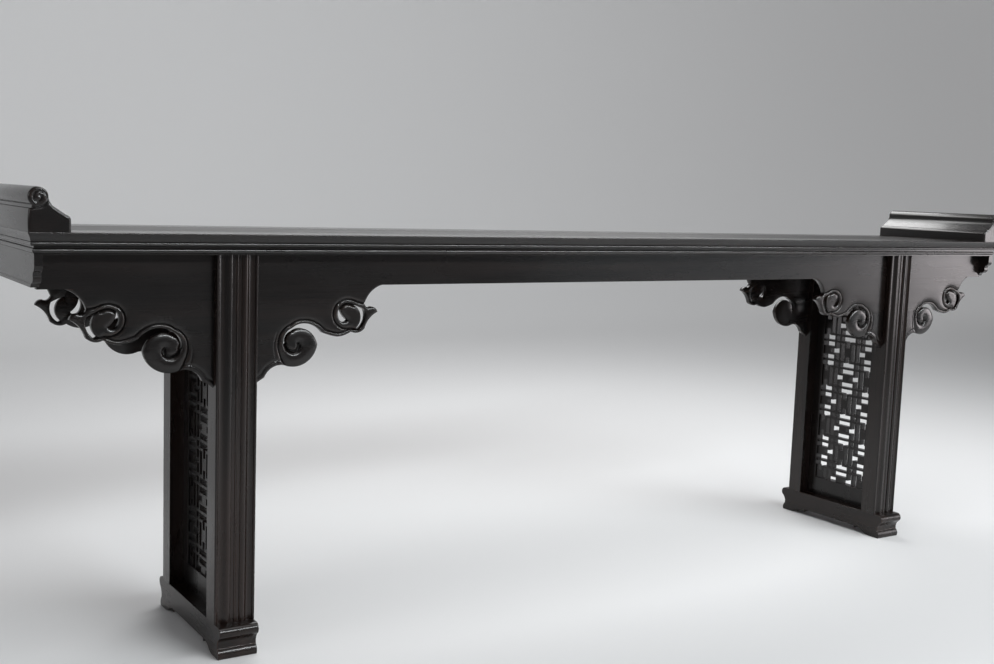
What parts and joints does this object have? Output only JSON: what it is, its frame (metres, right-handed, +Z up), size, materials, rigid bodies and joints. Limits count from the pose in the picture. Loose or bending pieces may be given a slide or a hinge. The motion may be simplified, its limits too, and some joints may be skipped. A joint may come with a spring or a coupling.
{
  "type": "altar table",
  "caption": "Long recessed-leg altar table with everted rolled flanges, cloud-scroll spandrels, lattice sides between moulded legs, and shoe feet.",
  "frame": {"origin": "on the floor, under the middle of the table", "axes": "+X along the length, +Y towards the back, +Z up"},
  "size_m": [2.911, 0.4102, 0.9845],
  "materials": {
    "board_wood": "satin lacquer",
    "panel_wood": "satin lacquer",
    "apron_wood": "satin lacquer",
    "carved_wood": "satin lacquer",
    "leg_wood": "satin lacquer",
    "lattice_wood": "satin lacquer"
  },
  "bodies": {
    "root": {"top_front_rail": "board_wood", "top_rear_rail": "board_wood", "top_end_rail_left": "board_wood", "top_end_rail_right": "board_wood", "top_panel": "panel_wood", "top_batten_1": "panel_wood", "top_batten_2": "panel_wood", "top_batten_3": "panel_wood", "top_batten_4": "panel_wood", "top_batten_5": "panel_wood", "flange_left": "board_wood", "flange_right": "board_wood", "apron_front": "apron_wood", "apron_rear": "apron_wood", "end_board_left": "apron_wood", "end_board_right": "apron_wood", "spandrel_front_left_outer": "carved_wood", "spandrel_front_left_inner": "carved_wood", "spandrel_front_right_outer": "carved_wood", "spandrel_front_right_inner": "carved_wood", "spandrel_rear_left_outer": "carved_wood", "spandrel_rear_left_inner": "carved_wood", "spandrel_rear_right_outer": "carved_wood", "spandrel_rear_right_inner": "carved_wood", "leg_front_left": "leg_wood", "leg_front_right": "leg_wood", "leg_rear_left": "leg_wood", "leg_rear_right": "leg_wood", "foot_left": "leg_wood", "foot_right": "leg_wood", "side_stile_left_front": "lattice_wood", "side_stile_left_rear": "lattice_wood", "side_stile_right_front": "lattice_wood", "side_stile_right_rear": "lattice_wood", "side_rail_top_left": "lattice_wood", "side_rail_top_right": "lattice_wood", "side_rail_bottom_left": "lattice_wood", "side_rail_bottom_right": "lattice_wood", "lattice_left": "lattice_wood", "lattice_right": "lattice_wood"}
  },
  "joints": []
}
